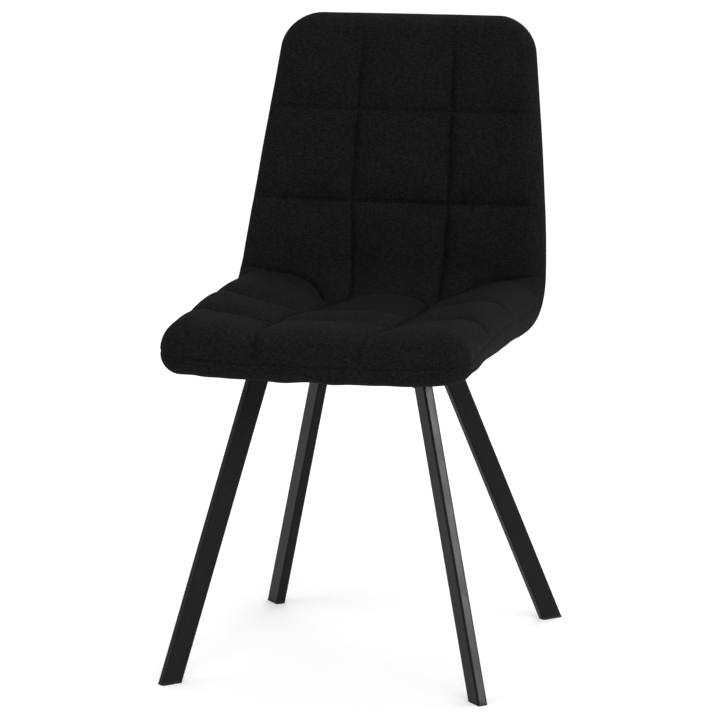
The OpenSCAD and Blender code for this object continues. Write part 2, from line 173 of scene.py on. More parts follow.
def shell_point(s, x, n):
    """Places n off the middle surface, curled up at its sides and bowed at its front and top edges."""
    y, z, a = profile(s)
    m = n + dish(s, x)
    arch = 1 - (x / BOW_REFERENCE) ** 2
    front = FRONT_BOW * arch * np.maximum(1 - s / BOW_REACH, 0)
    top = TOP_BOW * arch * np.maximum(1 - (SHELL_LENGTH - s) / BOW_REACH, 0)
    run = top - front
    bowed_y = y - np.sin(a) * m + np.cos(a) * run
    bowed_z = z + np.cos(a) * m + np.sin(a) * run
    return np.stack([x + 0 * y, bowed_y, bowed_z], axis=-1)


def rim_radius(s, x, side):
    """Height of the padding over the rim seam, on the sitter's side (1) or behind and below (-1)."""
    fill = 0 if side > 0 else smooth(FILL, s) * dish(s, x)
    return thickness(s) / 2 - side * rim_level(s) + fill


def rim_arc(s, x, side):
    """Distance from the rim seam, measured over the rounded edge."""
    r = rim_radius(s, x, side)
    t = np.clip(edge_distance(s, x) / r, 0, 1)
    return r * np.arccos(1 - t) + np.maximum(edge_distance(s, x) - r, 0)


def padded_point(s, x, side):
    r = rim_radius(s, x, side)
    t = np.clip(edge_distance(s, x) / r, 0, 1)
    level = rim_level(s) + side * r * np.sqrt(1 - (1 - t) ** 2)
    return shell_point(s, x, level)


# ---------- The grid that the covers are made on ----------
# Rows run across the shell and columns along it. Both have a line on every seam.

RIM_STEPS, SIDE_STEPS, MIDDLE_STEPS = 7, 16, 22
ROW_STEPS = (14, 20, 28, 24, 22, 16)
RIM_REACH = 0.044


def eased(steps, crowding=0.55):
    """Positions from 0 to 1, closer together at both ends."""
    t = np.arange(steps + 1) / steps
    return (1 - crowding) * t + crowding * (1 - np.cos(math.pi * t)) / 2


def rim_positions(steps):
    """Distances from the outline that are evenly spaced over the rounded edge."""
    return RIM_REACH * (1 - np.cos(np.arange(steps + 1) / steps * math.pi / 2))


def nearness(distance, width):
    """1 at no distance, and falling off over the width on both sides."""
    return np.exp(-((distance / width) ** 2))


def climbing(x):
    """Share of its climb that a cross seam has at x: it dips beside the long seams, then climbs."""
    dip = DIP_DEPTH * nearness(np.abs(x) - DIP_PLACE, DIP_REACH)
    return ease_in(np.abs(x), CLIMB_START, CLIMB_END) - dip


def seam_row(t, x):
    """Place s of the grid row t at x: rows bend along with the cross seams."""
    climb = np.interp(t, (0, *ACROSS_SEAMS, SHELL_LENGTH), (0, *ACROSS_CLIMB, 0))
    return t + climb * climbing(x)


def seam_drift(s):
    """How far the sewing lies to the right of its place at s."""
    return smooth(SEAM_DRIFT, s)


def column_x(s, density):
    """Place x of every grid column at s, which is given for the rows or for every grid point."""
    rim = rim_positions(RIM_STEPS * density)
    w = outline(s)
    seam = np.minimum(smooth(LONG_SEAM_X, s), w - RIM_REACH)
    side = eased(SIDE_STEPS * density)[1:]
    middle = 2 * eased(MIDDLE_STEPS * density)[1:] - 1
    # Each column is a mix of the outline, the inner end of the rim and the seam.
    parts = [(-1, 0, d) for d in rim] + [(-(1 - f), -f, RIM_REACH * (1 - f)) for f in side]
    parts += [(0, f, 0) for f in middle]
    parts += [(1 - f, f, -RIM_REACH * (1 - f)) for f in side[::-1][1:]] + [(1, 0, -RIM_REACH)]
    parts += [(1, 0, -d) for d in rim[::-1][1:]]
    edge, inner, shift = (np.array(column)[None, :] for column in zip(*parts))
    return edge * w + inner * seam + shift + np.where(edge == 0, 1, np.abs(inner)) * seam_drift(s)


def grid(density):
    """(s, x) of every grid point, and the numbers of the rows and columns that lie on seams."""
    rim = rim_positions(RIM_STEPS * density)
    marks = (RIM_REACH, *ACROSS_SEAMS, SHELL_LENGTH - RIM_REACH)
    rows, seam_rows = list(rim), []
    for k, (a, b) in enumerate(zip(marks, marks[1:])):
        rows += list(a + (b - a) * eased(ROW_STEPS[k] * density)[1:])
        if k < len(ACROSS_SEAMS):
            seam_rows.append(len(rows) - 1)
    rows += list(SHELL_LENGTH - rim[::-1][1:])
    t = np.array(rows)[:, None]
    x = column_x(t, density)
    s = seam_row(t, x)
    # The rows' bends and the columns' places depend on each other, so they are settled in turns.
    for _ in range(3):
        x = column_x(s, density)
        s = seam_row(t, x)
    first = (RIM_STEPS + SIDE_STEPS) * density
    return s, x, seam_rows, [first, first + MIDDLE_STEPS * density]


def grid_normals(p):
    along = np.gradient(p, axis=0)
    across = np.gradient(p, axis=1)
    n = np.cross(across, along)
    return n / np.maximum(np.linalg.norm(n, axis=-1, keepdims=True), 1e-12)


def grid_noise(p, scale, seed, octaves=2):
    """Smooth noise from -1 to 1 at every point, the same in every run."""
    flat = p.reshape(-1, 3) * scale + seed * 17.3
    values = [noise.fractal(Vector(q), 0.6, 2.0, octaves) for q in flat]
    return np.array(values).reshape(p.shape[:-1])


# ---------- Quilting ----------
# The sewing pulls the cover in, in a wide hollow with a narrow groove at its bottom.
# The pull is stronger on the seat, and strongest in the crease between the seat and the back.

PULL_DEPTH, SEAT_MORE_DEPTH, CREASE_MORE_DEPTH = 0.0066, 0.0032, 0.0030
PULL_REACH, SEAT_MORE_REACH = 0.017, 0.002
SEAT_FADE_END, SEAT_FADE, CREASE_REACH = 0.06, 0.08, 0.035
GROOVE_DEPTH, LONG_GROOVE, CROSS_GROOVE = 0.0040, 0.0044, 0.0034
# The share of the pull that long seams keep at the front edge, and where they fade out.
FRONT_SHARE, FRONT_FADE, TOP_FADE = 0.62, (0.01, 0.07), 0.075
# The share that cross seams keep near the rim, and where they fade out.
SIDE_SHARE, SIDE_FADE, RIM_FADE = 0.35, (0.02, 0.075), (0.002, 0.035)
# The cover is left in its place over this width next to the rim seam.
RIM_HOLD = 0.012
# Deep corners: pits outside the long seams and in front of the crease, and the seams' crossings.
CORNER_DEPTH, CROSSING_SHARE, CROSSING_REACH = 0.018, 0.3, 0.014
PIT_OUTSIDE, PIT_WIDTH, PIT_AHEAD, PIT_LENGTH = 0.013, 0.024, 0.028, 0.038
# The middle of the seat is sat in a little.
HOLLOW_PLACE, HOLLOW_DEPTH, HOLLOW_REACH, HOLLOW_SIDES = 0.285, 0.0095, 0.1, (0.04, 0.11)
# Small gathers beside the seams, and slight unevenness everywhere.
GATHER_SCALE, GATHER_REACH, GATHER_HEIGHT = 85, 0.009, 0.0009
UNEVEN_SCALE, UNEVEN_HEIGHT = 9, 0.0010


def seam_offset(s, x):
    """Distance outwards from the nearest long seam, and below 0 in the middle column."""
    return np.abs(x - seam_drift(s)) - smooth(LONG_SEAM_X, s)


def seam_distances(s, x):
    """Distance from the nearest long seam, and from the nearest cross seam."""
    along = np.abs(seam_offset(s, x))
    lines = [place + climb * climbing(x) for place, climb in zip(ACROSS_SEAMS, ACROSS_CLIMB)]
    across = np.min([np.abs(s - line) for line in lines], axis=0)
    return along, across


def quilting(s, x):
    """How far the sewing pulls the cover in at (s, x)."""
    along, across = seam_distances(s, x)
    arc = rim_arc(s, x, 1)
    seat = ease_in(CREASE + SEAT_FADE_END - s, 0, SEAT_FADE)
    crease = nearness(s - CREASE, CREASE_REACH)
    depth = PULL_DEPTH + SEAT_MORE_DEPTH * seat + CREASE_MORE_DEPTH * crease
    reach = PULL_REACH + SEAT_MORE_REACH * seat

    at_front = FRONT_SHARE + (1 - FRONT_SHARE) * ease_in(s, *FRONT_FADE)
    ends = np.where(s < CREASE, at_front, ease_in(SHELL_LENGTH - s, 0.0, TOP_FADE))
    sides = (SIDE_SHARE + (1 - SIDE_SHARE) * ease_in(arc, *SIDE_FADE)) * ease_in(arc, *RIM_FADE)
    long_pull, cross_pull = ends * np.exp(-along / reach), sides * np.exp(-across / reach)
    hollow = 1 - (1 - long_pull) * (1 - cross_pull)
    long_groove = ends * nearness(along, LONG_GROOVE)
    cross_groove = sides * nearness(across, CROSS_GROOVE)
    groove = np.maximum(long_groove, cross_groove)

    beside = (seam_offset(s, x) - PIT_OUTSIDE) / PIT_WIDTH
    ahead = (s - CREASE + PIT_AHEAD) / PIT_LENGTH
    pit = np.exp(-(beside**2) - ahead**2)
    crossing = CROSSING_SHARE * crease * np.exp(-np.hypot(along, across) / CROSSING_REACH)
    middle = 1 - ease_in(np.abs(x), *HOLLOW_SIDES)
    sat_in = HOLLOW_DEPTH * middle * nearness(s - HOLLOW_PLACE, HOLLOW_REACH)
    pull = depth * hollow + GROOVE_DEPTH * groove + CORNER_DEPTH * (crossing + pit) + sat_in
    return pull * ease_in(arc, 0.0, RIM_HOLD)


def puckers(s, x, base):
    """Small gathers that run away from the seams."""
    along, across = seam_distances(s, x)
    by_long = np.stack([s * 1.0, np.sign(x) * 0.3, 0 * s], -1)
    by_cross = np.stack([x * 1.0, 0.2 + 0 * s, s * 0.25], -1)
    gathers_long = grid_noise(by_long, GATHER_SCALE, 3) * np.exp(-along / GATHER_REACH)
    gathers_cross = grid_noise(by_cross, GATHER_SCALE, 5) * np.exp(-across / GATHER_REACH)
    uneven = grid_noise(base, UNEVEN_SCALE, 8)
    height = GATHER_HEIGHT * (gathers_long + gathers_cross) + UNEVEN_HEIGHT * uneven
    return height * ease_in(rim_arc(s, x, 1), 0.0, RIM_HOLD)


# ---------- Meshes ----------

def new_object(name, vertices, faces, body="root"):
    mesh = bpy.data.meshes.new(name)
    mesh.from_pydata([tuple(v) for v in vertices], [], faces)
    mesh.validate()
    mesh.shade_smooth()
    o = bpy.data.objects.new(name, mesh)
    bpy.context.scene.collection.objects.link(o)
    if body:
        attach(o, body)
    return o


def grid_faces(rows, columns, offset=0, flip=False):
    i, j = np.meshgrid(np.arange(rows - 1), np.arange(columns - 1), indexing="ij")
    a = (offset + i * columns + j).ravel()
    quads = np.stack([a, a + 1, a + columns + 1, a + columns], 1)
    return (quads[:, ::-1] if flip else quads).tolist()


def grid_rim(rows, columns):
    """Numbers of the grid's border points, in order round it."""
    return (
        list(range(columns))
        + [i * columns + columns - 1 for i in range(1, rows)]
        + [(rows - 1) * columns + j for j in range(columns - 2, -1, -1)]
        + [i * columns for i in range(rows - 2, 0, -1)]
    )


def flat_place(s, x, side):
    """Places on the flat cloth, which is longer than the outline by the rounded edge."""
    e, w, r = end_distance(s), smooth(HALF_WIDTH, s) - np.abs(x), corner(s)
    in_corner = (w < r) & (e < r)
    to_end = np.where(in_corner, r - e, np.where(e < w, 1.0, 0.0))
    to_side = np.where(in_corner, r - w, np.where(e < w, 0.0, 1.0))
    length = np.maximum(np.hypot(to_end, to_side), 1e-9)
    radius = rim_radius(s, x, side)
    extra = radius * (math.pi / 2 - 1) - rim_arc(s, x, side) + edge_distance(s, x)
    extra = np.where(edge_distance(s, x) < radius, extra, 0)
    outwards = np.where(s < SHELL_LENGTH / 2, -1, 1)
    return x + np.sign(x) * extra * to_side / length, s + outwards * extra * to_end / length


def skin(name, outer, inner, side, s, x):
    """A closed sheet between two grids of points. Its UV map holds its flat size in metres."""
    rows, columns = outer.shape[:2]
    count = rows * columns
    ring = grid_rim(rows, columns)
    up = side > 0
    faces = grid_faces(rows, columns, 0, not up) + grid_faces(rows, columns, count, up)
    for a, b in zip(ring, ring[1:] + ring[:1]):
        faces.append((b, a, a + count, b + count) if up else (a, b, b + count, a + count))
    o = new_object(name, np.concatenate([outer.reshape(-1, 3), inner.reshape(-1, 3)]), faces)
    flat_x, flat_s = flat_place(s, x, side)
    flat = np.stack([flat_x.ravel(), flat_s.ravel()], 1)
    flat = np.concatenate([flat, flat])
    layer = o.data.uv_layers.new(name="flat")
    loops = np.zeros(len(o.data.loops), dtype=np.int32)
    o.data.loops.foreach_get("vertex_index", loops)
    layer.data.foreach_set("uv", flat[loops].astype(np.float32).ravel())
    return o


# ---------- Cloth simulation of the front cover ----------

SIM_FRAMES = 20
SIM_CAP = 0.005
# The simulated moves fade out over this width at the rim, and mostly in the bend under the back.
SIM_RIM = 0.045
SIM_BEND_PLACE, SIM_BEND_REACH, SIM_BEND_HOLD = 0.05, 0.05, 0.85


def inflated(density=1):
    """Moves that a cloth simulation gives the front cover's grid, sewn down along its seams."""
    s, x, seam_rows, seam_columns = grid(density)
    front = padded_point(s, x, 1)
    front = front - grid_normals(front) * quilting(s, x)[..., None]
    rear = padded_point(s, x, -1)
    rows, columns = s.shape
    count = rows * columns
    ring = grid_rim(rows, columns)
    on_ring = set(ring)
    place = {k: k for k in ring}
    vertices = list(front.reshape(-1, 3))
    for k, v in enumerate(rear.reshape(-1, 3)):
        if k not in on_ring:
            place[k] = len(vertices)
            vertices.append(v)
    faces = grid_faces(rows, columns)
    faces += [[place[k] for k in f] for f in grid_faces(rows, columns, 0, True)]
    o = new_object("cloth_trial", vertices, faces, None)
    pinned = set(range(count, len(vertices))) | on_ring
    pinned |= {i * columns + j for i in seam_rows for j in range(columns)}
    pinned |= {i * columns + j for j in seam_columns for i in range(rows)}
    group = o.vertex_groups.new(name="sewn")
    group.add(sorted(pinned), 1.0, "REPLACE")
    cloth = o.modifiers.new("Cloth", "CLOTH")
    c = cloth.settings
    c.quality = 4
    c.mass = 0.25
    c.tension_stiffness = c.compression_stiffness = 18
    c.shear_stiffness = 6
    c.bending_stiffness = 0.6
    c.use_pressure = True
    c.uniform_pressure_force = 5
    c.vertex_group_mass = "sewn"
    c.pin_stiffness = 1
    c.shrink_min = -0.012
    c.effector_weights.gravity = 0
    cloth.point_cache.frame_start, cloth.point_cache.frame_end = 1, SIM_FRAMES
    scene = bpy.context.scene
    for f in range(1, SIM_FRAMES + 1):
        scene.frame_set(f)
    result = o.evaluated_get(bpy.context.evaluated_depsgraph_get()).data
    moved = np.zeros(len(result.vertices) * 3)
    result.vertices.foreach_get("co", moved)
    moves = moved.reshape(-1, 3)[:count].reshape(rows, columns, 3) - front
    bpy.data.objects.remove(o)
    scene.frame_set(1)
    size = np.linalg.norm(moves, axis=-1, keepdims=True)
    moves = moves * np.minimum(1, SIM_CAP / np.maximum(size, 1e-9))
    bend = nearness(s - CREASE - SIM_BEND_PLACE, SIM_BEND_REACH)
    free = ease_in(rim_arc(s, x, 1), 0.0, SIM_RIM) * (1 - SIM_BEND_HOLD * bend)
    return smoothed(moves * free[..., None], seam_rows, seam_columns)


def smoothed(moves, seam_rows, seam_columns, passes=3):
    """Moves without their small ripples; the sewn lines stay where they are."""
    for _ in range(passes):
        inner = (moves[:-2] + moves[2:]) / 4 + moves[1:-1] / 2
        moves = np.concatenate([moves[:1], inner, moves[-1:]])
        inner = (moves[:, :-2] + moves[:, 2:]) / 4 + moves[:, 1:-1] / 2
        moves = np.concatenate([moves[:, :1], inner, moves[:, -1:]], axis=1)
        moves[seam_rows] = 0
        moves[:, seam_columns] = 0
    return moves


def denser(values, density):
    """A grid of values at density times as many steps each way."""
    for axis in (0, 1):
        values = np.moveaxis(values, axis, 0)
        t = np.arange((len(values) - 1) * density + 1) / density
        i = np.minimum(t.astype(int), len(values) - 2)
        f = (t - i).reshape(-1, *[1] * (values.ndim - 1))
        values = np.moveaxis(values[i] * (1 - f) + values[i + 1] * f, 0, axis)
    return values


# ---------- Upholstery ----------

DENSITY = 2
RIM_GROOVE_DEPTH, RIM_GROOVE_WIDTH = 0.0009, 0.0020
# The rear cover's loose hem under the seat's edge: its place, how far it bulges and how unevenly.
HEM_PLACE, HEM_REACH, HEM_FADE = 0.030, 0.016, 0.1
HEM_BULGE, HEM_UNEVEN, REAR_UNEVEN = 0.0042, 0.0026, 0.0007
# The dust cover's edges under the seat, where the rear cover lies flat on the plywood.
PANEL_FRONT, PANEL_REAR, PANEL_HALF_WIDTH = 0.042, 0.378, 0.168
PANEL_FADE, PANEL_MARGIN = (0.035, 0.055), 0.02


def rim_groove(s, x, side):
    """The covers turn in where they are sewn together round the rim."""
    return RIM_GROOVE_DEPTH * nearness(rim_arc(s, x, side), RIM_GROOVE_WIDTH)


def make_front_cover(moves):
    s, x, seam_rows, seam_columns = grid(DENSITY)
    base = padded_point(s, x, 1)
    normal = grid_normals(base)
    inwards = quilting(s, x) + rim_groove(s, x, 1) - puckers(s, x, base)
    outer = base - normal * inwards[..., None] + denser(moves, DENSITY)
    inner = outer - grid_normals(outer) * COVER
    o = skin("quilted_cover", outer, inner, 1, s, x)
    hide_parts("quilted_front_cover", "seat_foam", "back_foam")
    up = grid_normals(outer)
    edge = 2 * RIM_STEPS * DENSITY
    lines = [(outer[k, edge:-edge], up[k, edge:-edge]) for k in seam_rows]
    lines += [(outer[edge:-edge, k], up[edge:-edge, k]) for k in seam_columns]
    return o, lines


def make_rear_cover():
    s, x, _, _ = grid(DENSITY)
    base = padded_point(s, x, -1)
    normal = -grid_normals(base)
    arc = rim_arc(s, x, -1)
    loose = nearness(arc - HEM_PLACE, HEM_REACH) * np.clip((BEND_END - s) / HEM_FADE, 0, 1)
    hem = loose * (HEM_BULGE + HEM_UNEVEN * grid_noise(base, 16, 2))
    # The unevenness only goes outwards, so that the cover stays clear of the plywood.
    wave = hem + REAR_UNEVEN * (1 + grid_noise(base, 10, 4))
    in_panel = ease_in(arc, *PANEL_FADE) * (s < PANEL_REAR + PANEL_MARGIN)
    inwards = rim_groove(s, x, -1) - wave * ease_in(arc, 0.0, RIM_HOLD) * (1 - in_panel)
    outer = base - normal * inwards[..., None]
    inner = outer + grid_normals(outer) * COVER
    o = skin("outer_cover", outer, inner, -1, s, x)
    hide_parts("rear_cover", "back_wadding")
    return o


front_moves = inflated()
front_cover, seam_lines = make_front_cover(front_moves)
rear_cover = make_rear_cover()


def swept(path, across, up, radii, sides=6):
    """Vertices and faces of a closed rod along a path, with a ring at each point."""
    turns = np.arange(sides) / sides * 2 * math.pi
    ring = np.cos(turns)[None, :, None] * across[:, None] + np.sin(turns)[None, :, None] * up[:, None]
    vertices = (path[:, None] + radii[:, None, None] * ring).reshape(-1, 3)
    faces = []
    for i in range(len(path) - 1):
        for j in range(sides):
            a, b = i * sides + j, i * sides + (j + 1) % sides
            faces.append((a, b, b + sides, a + sides))
    last = (len(path) - 1) * sides
    return vertices, faces + [tuple(range(sides))[::-1], tuple(range(last, last + sides))]


def joined(name, parts):
    """One object from several separate shells of (vertices, faces)."""
    vertices, faces = [], []
    for part_vertices, part_faces in parts:
        faces += [tuple(k + len(vertices) for k in f) for f in part_faces]
        vertices += list(part_vertices)
    return new_object(name, vertices, faces)


STITCH_PITCH, STITCH_LENGTH, THREAD_RADIUS = 0.0042, 0.0034, 0.00042
# A stitch's points: (place in stitch lengths, thickness and height in thread radii).
STITCH = ((-0.5, 0.3, -1.2), (-0.36, 0.9, 0.4), (0.36, 0.9, 0.4), (0.5, 0.3, -1.2))


def make_stitches(lines):
    """The quilting thread, lying in the bottom of every sewn line."""
    shape = np.array(STITCH)
    parts = []
    for points, normals in lines:
        length = np.concatenate([[0], np.cumsum(np.linalg.norm(np.diff(points, axis=0), axis=1))])
        for middle in np.arange(STITCH_PITCH, length[-1] - STITCH_PITCH, STITCH_PITCH):
            places = middle + shape[:, 0] * STITCH_LENGTH
            path, up = (
                np.stack([np.interp(places, length, values[:, k]) for k in range(3)], 1)
                for values in (points, normals)
            )
            across = np.cross(path[-1] - path[0], up)
            across /= np.linalg.norm(across, axis=1, keepdims=True)
            path = path + up * shape[:, 2:] * THREAD_RADIUS
            parts.append(swept(path, across, up, shape[:, 1] * THREAD_RADIUS, 5))
    o = joined("quilting_thread", parts)
    return o


thread = make_stitches(seam_lines)


DUST_STEPS, DUST_THICKNESS, DUST_GAP = 72, 0.0006, 0.00015
FOLD, FOLD_SOFTNESS, FOLD_HEIGHT, DUST_RIPPLE = 0.009, 0.0015, 0.0002, 0.00012


def make_dust_cover():
    """Thin cloth under the seat, drawn tight between its staples, with its edge folded in."""
    steps = DUST_STEPS
    s = np.linspace(PANEL_FRONT, PANEL_REAR, steps + 1)[:, None]
    x = np.linspace(-PANEL_HALF_WIDTH, PANEL_HALF_WIDTH, steps + 1)[None, :] + 0 * s
    s = s + 0 * x
    edge = np.minimum(np.minimum(s - PANEL_FRONT, PANEL_REAR - s), PANEL_HALF_WIDTH - np.abs(x))
    folded = FOLD_HEIGHT * (1 - ease_in(edge, FOLD - FOLD_SOFTNESS, FOLD + FOLD_SOFTNESS))
    ripple = DUST_RIPPLE * grid_noise(np.stack([x, s, 0 * s], -1), 60, 6)
    level = -SEAT_THICKNESS / 2 - DUST_GAP - smooth(FILL, s) * dish(s, x)
    upper = shell_point(s, x, level)
    lower = shell_point(s, x, level - DUST_THICKNESS + ripple - folded)
    o = skin("seat_dust_cover", lower, upper, -1, s, x)
    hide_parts("dust_cover")
    return o


dust_cover = make_dust_cover()

# ---------- Weld beads ----------
# The two upright planes, their legs and bars, as the frame has them.

FRONT_FOOT, REAR_FOOT_X, FOOT_SPACING = (0.222, -0.2355), 0.2105, 0.464
TUBE_WIDE, TUBE_NARROW, BAR_HEIGHT = 0.030, 0.015, 0.025
FRONT_SLOPE, REAR_SLOPE = 0.36, 0.432
FRONT_LEAN, REAR_LEAN = math.atan(FRONT_SLOPE), math.atan(REAR_SLOPE)
DIAGONAL_ANGLE = math.atan2(FOOT_SPACING, FRONT_FOOT[0] + REAR_FOOT_X)
DIAGONAL = math.hypot(FOOT_SPACING, FRONT_FOOT[0] + REAR_FOOT_X)
# The bars slope with the seat, from their top edge's highest place over the front leg.
BAR_TOP, BAR_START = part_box("cross_bar")[1][2], FRONT_SLOPE * 0.44
BEAD_RADIUS, BEAD_STEP, BEAD_INSET = 0.0019, 0.0005, 0.001
BEAD_RIPPLE, BEAD_RIPPLE_PITCH = 0.16, 0.0018


def in_world(side, x, y, z):
    """A place in the upright plane of one diagonal: x from the front foot, y square to it."""
    c, s = math.cos(DIAGONAL_ANGLE), math.sin(DIAGONAL_ANGLE)
    return (side * (FRONT_FOOT[0] - x * c - y * s), FRONT_FOOT[1] + x * s - y * c, z)


def bar_heights(x):
    """Lowest and highest z of a bar at x along its diagonal."""
    slope = math.tan(-SEAT_ANGLE) * math.sin(DIAGONAL_ANGLE)
    top = BAR_TOP - (x - BAR_START) * slope
    return top - BAR_HEIGHT / math.cos(math.atan(slope)), top


def inner_face(front, z):
    """Place along the diagonal of a leg's inner face at height z."""
    lean = FRONT_LEAN if front else REAR_LEAN
    along = (z + TUBE_WIDE / 2 * math.sin(lean)) / math.cos(lean)
    reach = TUBE_WIDE / 2 * math.cos(lean) + along * math.sin(lean)
    return reach if front else DIAGONAL - reach


def bead(points):
    """A weld bead with its overlapping ripples along a line of points."""
    points = np.array(points, float)
    length = np.concatenate([[0], np.cumsum(np.linalg.norm(np.diff(points, axis=0), axis=1))])
    places = np.linspace(0, length[-1], int(length[-1] / BEAD_STEP) + 2)
    path = np.stack([np.interp(places, length, points[:, k]) for k in range(3)], 1)
    way = np.gradient(path, axis=0)
    way /= np.linalg.norm(way, axis=1, keepdims=True)
    # Any direction will do that no bead runs along.
    side = np.cross(way, (0.31, 0.52, 0.79))
    side /= np.linalg.norm(side, axis=1, keepdims=True)
    ripple = 1 + BEAD_RIPPLE * np.abs(np.sin(places / BEAD_RIPPLE_PITCH * math.pi))
    ends = np.sqrt(np.clip(np.minimum(places, length[-1] - places) / BEAD_RADIUS, 0.15, 1))
    return swept(path, side, np.cross(way, side), BEAD_RADIUS * ripple * ends, 8)


def make_weld_beads():
    parts, half = [], TUBE_NARROW / 2
    for side in (-1, 1):
        for front in (True, False):
            bottom, top = bar_heights(inner_face(front, BAR_TOP - BAR_HEIGHT / 2))
            bottom_x, top_x = inner_face(front, bottom), inner_face(front, top)
            down = [(top_x, -half, top - BEAD_INSET), (bottom_x, -half, bottom)]
            up = [(bottom_x, half, bottom), (top_x, half, top - BEAD_INSET)]
            parts.append(bead([in_world(side, *place) for place in down + up]))
    # Where the two half bars butt against the through bar, in that bar's own plane
    slant = math.pi - 2 * DIAGONAL_ANGLE
    crossing = FRONT_FOOT[0] / math.cos(DIAGONAL_ANGLE)
    for face in (-half, half):
        middle = face / math.tan(slant)
        reach = half / math.sin(slant)
        bottom, top = bar_heights(crossing)
        down = [(middle - reach, top - BEAD_INSET), (middle - reach, bottom)]
        up = [(middle + reach, bottom), (middle + reach, top - BEAD_INSET)]
        parts.append(bead([in_world(1, crossing + x, face, z) for x, z in down + up]))
    o = joined("weld_beads", parts)
    return o


weld_beads = make_weld_beads()

# ---------- Materials ----------


class Nodes:
    """Short calls for building a material's nodes."""

    def __init__(self, name):
        self.material = bpy.data.materials.new(name)
        self.material.use_nodes = True
        self.tree = self.material.node_tree
        self.shader = self.tree.nodes["Principled BSDF"]

    def add(self, kind, inputs=(), **settings):
        node = self.tree.nodes.new(kind)
        for key, value in settings.items():
            setattr(node, key, value)
        for key, value in dict(inputs).items():
            if isinstance(value, bpy.types.NodeSocket):
                self.tree.links.new(value, node.inputs[key])
            else:
                node.inputs[key].default_value = value
        return node

    def math(self, operation, a, b=0.0, clamp=False):
        return self.add("ShaderNodeMath", {0: a, 1: b}, operation=operation, use_clamp=clamp).outputs[0]

    def ramp(self, value, low, high, out_low=0.0, out_high=1.0):
        inputs = {"Value": value, 1: low, 2: high, 3: out_low, 4: out_high}
        return self.add("ShaderNodeMapRange", inputs).outputs[0]

    def noise(self, vector, scale, detail=3.0, rough=0.6):
        inputs = {"Vector": vector, "Scale": scale, "Detail": detail, "Roughness": rough}
        return self.add("ShaderNodeTexNoise", inputs).outputs["Fac"]

    def stretched(self, vector, scale):
        return self.add("ShaderNodeMapping", {"Vector": vector, "Scale": scale}).outputs[0]

    def mix(self, factor, a, b):
        node = self.add("ShaderNodeMix", {0: factor}, data_type="RGBA")
        for socket, value in ((node.inputs[6], a), (node.inputs[7], b)):
            if isinstance(value, bpy.types.NodeSocket):
                self.tree.links.new(value, socket)
            else:
                socket.default_value = (*value, 1)
        return node.outputs[2]

    def link(self, output, key):
        self.tree.links.new(output, self.shader.inputs[key])

    def bump(self, height, distance, strength=1.0, after=None):
        inputs = {"Height": height, "Distance": distance, "Strength": strength}
        if after is not None:
            inputs["Normal"] = after
        return self.add("ShaderNodeBump", inputs).outputs[0]

    def set(self, **values):
        for key, value in values.items():
            self.shader.inputs[key.replace("_", " ")].default_value = value


def woven_fabric(name, dark, light, yarn=0.0011):
    """Black upholstery linen: fine plain weave with thicker horizontal slubs."""
    n = Nodes(name)
    flat = n.add("ShaderNodeUVMap", uv_map="flat").outputs[0]
    slubs = n.noise(n.stretched(flat, (140, 560, 1)), 1.0, 4.0, 0.72)
    warp_slubs = n.noise(n.stretched(flat, (480, 150, 1)), 1.0, 3.0, 0.65)
    fleck = n.noise(n.stretched(flat, (330, 470, 1)), 1.0, 2.0, 0.7)
    mottle = n.noise(n.stretched(flat, (150, 90, 1)), 1.0, 3.0, 0.65)
    cloud = n.noise(flat, 22.0, 3.0, 0.6)
    wave = {"Vector": flat, "Scale": 0.5 / yarn, "Distortion": 0.6, "Detail": 1.0, "Detail Scale": 3.0}
    weft = n.add("ShaderNodeTexWave", wave, wave_type="BANDS", bands_direction="Y").outputs["Fac"]
    warp = n.add("ShaderNodeTexWave", wave, wave_type="BANDS", bands_direction="X").outputs["Fac"]
    weave = n.math("MULTIPLY", weft, warp)
    tone = n.math("ADD", n.math("MULTIPLY", slubs, 0.5), n.math("MULTIPLY", warp_slubs, 0.15))
    tone = n.math("ADD", tone, n.math("MULTIPLY", fleck, 0.35))
    tone = n.math("ADD", n.ramp(tone, 0.43, 0.60), n.ramp(mottle, 0.35, 0.65, -0.16, 0.16))
    tone = n.math("ADD", tone, n.ramp(cloud, 0.3, 0.7, -0.12, 0.12))
    n.link(n.mix(n.math("MULTIPLY", tone, 1.0, True), dark, light), "Base Color")
    n.link(n.ramp(slubs, 0.3, 0.7, 0.98, 0.86), "Roughness")
    height = n.math("ADD", n.math("MULTIPLY", weave, 0.6), n.math("MULTIPLY", slubs, 0.8))
    n.link(n.bump(height, 0.0010, 0.8), "Normal")
    n.set(Specular_IOR_Level=0.06)
    return n.material


def powder_coat(name):
    """Satin black powder coat with its fine grain and orange-peel."""
    n = Nodes(name)
    place = n.add("ShaderNodeTexCoord").outputs["Object"]
    grain = n.noise(place, 900.0, 2.0, 0.6)
    peel = n.noise(place, 380.0, 2.0, 0.5)
    cloud = n.noise(place, 30.0, 3.0, 0.6)
    dark, light = (0.0070, 0.0068, 0.0068), (0.0170, 0.0162, 0.0162)
    n.link(n.mix(n.ramp(grain, 0.4, 0.68), dark, light), "Base Color")
    n.link(n.ramp(cloud, 0.3, 0.7, 0.27, 0.35), "Roughness")
    n.link(n.bump(peel, 0.0004, 0.28, n.bump(grain, 0.0003, 0.45)), "Normal")
    n.set(Specular_IOR_Level=0.055)
    return n.material


